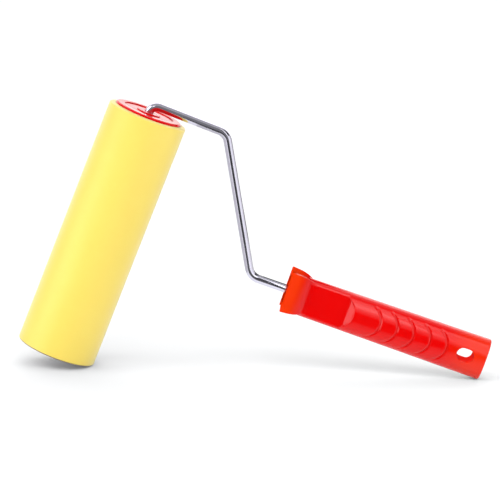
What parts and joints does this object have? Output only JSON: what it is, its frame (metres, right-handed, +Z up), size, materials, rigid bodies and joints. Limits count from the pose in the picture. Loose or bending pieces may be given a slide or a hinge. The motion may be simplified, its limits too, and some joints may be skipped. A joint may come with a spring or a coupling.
{
  "type": "paint roller",
  "caption": "Wide foam paint roller on a cranked wire frame with a moulded grip handle and hanging hole, standing as a tent.",
  "frame": {"origin": "middle of the underside of the bounding box, on the floor the tool stands on", "axes": "+X from the roller towards the handle's butt, +Y across the tool, +Z up; the wire frame lies in the plane y = 0"},
  "size_m": [0.3324, 0.0564, 0.1887],
  "materials": {
    "foam": "matte fine-celled foam",
    "red_plastic": "gloss moulded",
    "core_plastic": "plain extruded",
    "plated_wire": "bright plated",
    "spring_steel": "plain sheet"
  },
  "bodies": {
    "frame": {"wire_frame": "plated_wire", "handle": "red_plastic", "retaining_washer": "spring_steel", "push_nut": "spring_steel"},
    "roller": {"foam_cover": "foam", "core_tube": "core_plastic", "end_cap_inner": "red_plastic", "end_cap_outer": "red_plastic"}
  },
  "joints": [
    {"name": "roller_spin", "type": "hinge", "parent": "frame", "child": "roller", "pos_m": [-0.11013, 0, 0.09397], "axis": [0.3301, 0, 0.9439], "continuous": true}
  ]
}
